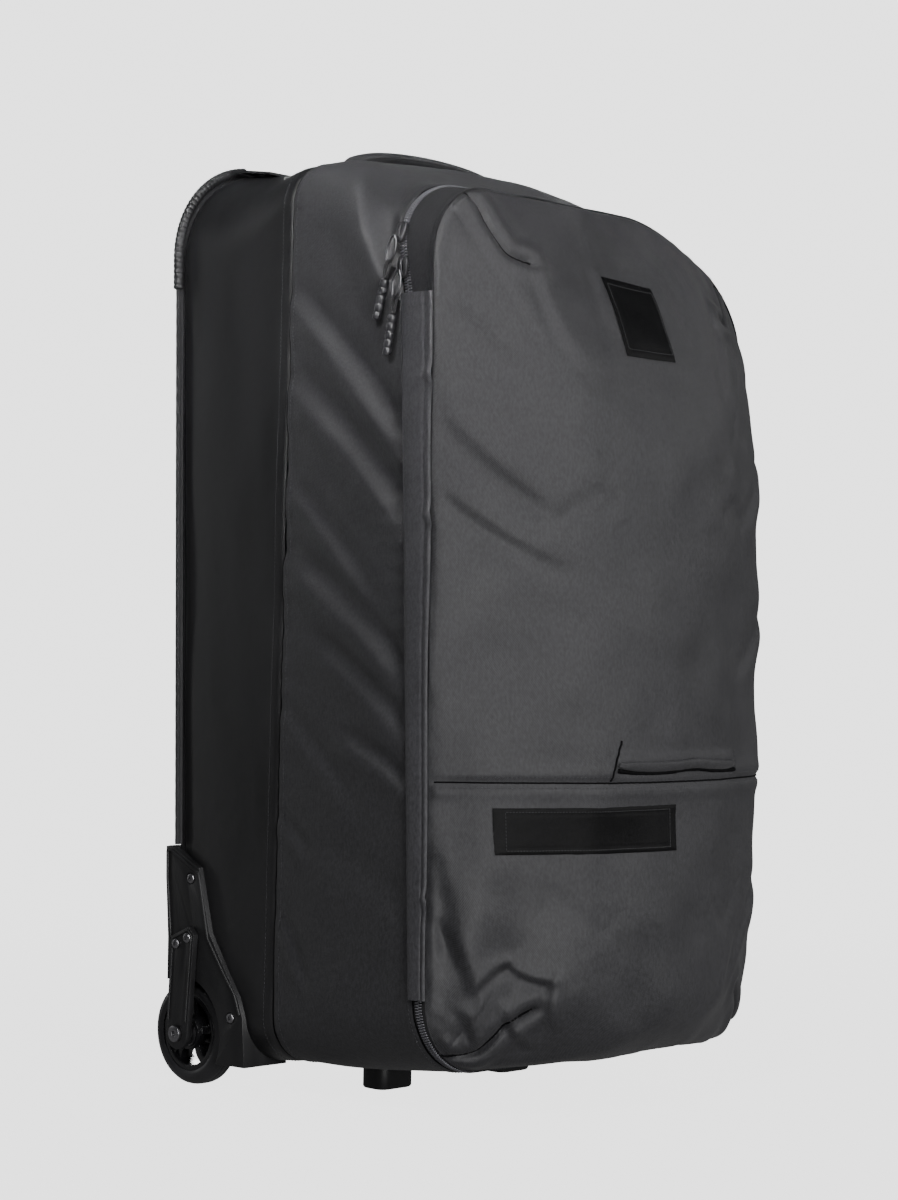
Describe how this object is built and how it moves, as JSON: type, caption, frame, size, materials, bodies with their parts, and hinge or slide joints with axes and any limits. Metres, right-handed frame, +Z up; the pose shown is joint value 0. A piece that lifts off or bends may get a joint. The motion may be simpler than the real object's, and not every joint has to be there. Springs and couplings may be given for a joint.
{
  "type": "wheeled ski bag",
  "caption": "Soft upright travel bag for ski gear, with a zipped padded lid, rear corner wheels, a telescopic pull handle and a grab handle on top.",
  "frame": {"origin": "on the floor, under the middle of the outer box", "axes": "+Z up, lid faces -Y, trolley side faces +Y, left side is -X as seen from the lid"},
  "size_m": [0.431, 0.417, 0.817],
  "materials": {
    "coated_fabric": "smooth coated fabric with a soft sheen",
    "woven_fabric": "fine diagonal weave, matt",
    "trim_webbing": "tight tape weave, matt",
    "lining_fabric": "thin plain-weave lining",
    "black_plastic": "fine moulded texture, satin edges",
    "zip_metal": "dark lacquered metal",
    "cord_sleeve": "glossy clear-coated sleeve over dark cord",
    "wheel_plastic": "smooth black moulding",
    "tyre_urethane": "satin wheel rubber",
    "steel": "zinc-plated, slightly dulled",
    "aluminium": "dark anodised, brushed lengthwise",
    "board_plastic": "sheet plastic"
  },
  "bodies": {
    "bag_body": {"wheel_housing_left": "black_plastic", "housing_screw_left_1": "steel", "housing_screw_left_2": "steel", "wheel_housing_right": "black_plastic", "housing_screw_right_1": "steel", "housing_screw_right_2": "steel", "wheel_arm_left": "black_plastic", "arm_screw_left_1": "steel", "arm_screw_left_2": "steel", "axle_bolt_left": "steel", "axle_nut_left": "steel", "wheel_arm_right": "black_plastic", "arm_screw_right_1": "steel", "arm_screw_right_2": "steel", "axle_bolt_right": "steel", "axle_nut_right": "steel", "coated_side_band": "coated_fabric", "back_panel": "coated_fabric", "front_gusset": "woven_fabric", "storm_flap": "woven_fabric", "zipper_tape_body": "trim_webbing", "back_piping": "trim_webbing", "handle_tab_left": "trim_webbing", "handle_tab_right": "trim_webbing", "corner_guard_left": "black_plastic", "corner_guard_right": "black_plastic", "back_board": "board_plastic", "base_plate": "board_plastic", "inner_liner": "lining_fabric", "skid_foot_left": "black_plastic", "skid_foot_right": "black_plastic", "handle_cup": "black_plastic", "tube_foot_block": "black_plastic", "outer_tube_left": "aluminium", "outer_tube_right": "aluminium"},
    "wheel_left": {"tyre_left": "tyre_urethane", "wheel_hub_left": "wheel_plastic", "outer_bearing_left": "steel", "inner_bearing_left": "steel"},
    "wheel_right": {"tyre_right": "tyre_urethane", "wheel_hub_right": "wheel_plastic", "outer_bearing_right": "steel", "inner_bearing_right": "steel"},
    "trolley": {"inner_tube_left": "aluminium", "inner_tube_right": "aluminium", "trolley_grip": "black_plastic"},
    "release": {"release_button": "black_plastic", "push_rod_left": "steel", "push_rod_right": "steel"},
    "pin_left": {"lock_pin_left": "steel"},
    "pin_right": {"lock_pin_right": "steel"},
    "lid": {"lid_shell": "woven_fabric", "zipper_tape_lid": "trim_webbing"},
    "slider_upper": {"zipper_slider_upper": "zip_metal"},
    "slider_lower": {"zipper_slider_lower": "zip_metal"},
    "pull_upper": {"pull_loop_upper": "zip_metal", "pull_cord_upper": "cord_sleeve"},
    "pull_lower": {"pull_loop_lower": "zip_metal", "pull_cord_lower": "cord_sleeve"},
    "handle": {"grab_handle": "woven_fabric"}
  },
  "joints": [
    {"name": "wheel_left_spin", "type": "hinge", "parent": "bag_body", "child": "wheel_left", "pos_m": [-0.188, 0.1635, 0.045], "axis": [1, 0, 0], "continuous": true},
    {"name": "wheel_right_spin", "type": "hinge", "parent": "bag_body", "child": "wheel_right", "pos_m": [0.188, 0.1635, 0.045], "axis": [1, 0, 0], "continuous": true},
    {"name": "trolley_extend", "type": "slide", "parent": "bag_body", "child": "trolley", "axis": [0, 0, 1], "range_m": [0, 0.32]},
    {"name": "release_button_press", "type": "slide", "parent": "trolley", "child": "release", "axis": [0, 0, -1], "range_m": [0, 0.004], "stiffness_N_per_m": 600, "springref_m": -0.002},
    {"name": "lock_pin_left_retract", "type": "slide", "parent": "trolley", "child": "pin_left", "axis": [1, 0, 0], "range_m": [0, 0.003]},
    {"name": "lock_pin_right_retract", "type": "slide", "parent": "trolley", "child": "pin_right", "axis": [-1, 0, 0], "range_m": [0, 0.003]},
    {"name": "lid_open", "type": "hinge", "parent": "bag_body", "child": "lid", "pos_m": [0.2004, -0.09845, 0.49], "axis": [0, 0.0406, 0.9992], "range_deg": [0, 165]},
    {"name": "slider_upper_travel", "type": "hinge", "parent": "bag_body", "child": "slider_upper", "pos_m": [-0.1362, -0.0813, 0.6898], "axis": [0, 1, 0], "range_deg": [0, 70]},
    {"name": "slider_lower_travel", "type": "slide", "parent": "bag_body", "child": "slider_lower", "axis": [0, -0.1484, -0.9889], "range_m": [0, 0.011]},
    {"name": "pull_upper_swing", "type": "hinge", "parent": "slider_upper", "child": "pull_upper", "pos_m": [-0.2084, -0.0813, 0.705], "axis": [0, 1, 0], "range_deg": [0, 150]},
    {"name": "pull_lower_swing", "type": "hinge", "parent": "slider_lower", "child": "pull_lower", "pos_m": [-0.2084, -0.0868, 0.677], "axis": [0, 1, 0], "range_deg": [0, 150]},
    {"name": "grab_handle_swing", "type": "hinge", "parent": "bag_body", "child": "handle", "pos_m": [0, 0.095, 0.797], "axis": [1, 0, 0], "range_deg": [-20, 30]}
  ],
  "couplings": [
    {"joint": "lock_pin_left_retract", "follows": "release_button_press", "ratio": 0.75},
    {"joint": "lock_pin_right_retract", "follows": "release_button_press", "ratio": 0.75}
  ]
}
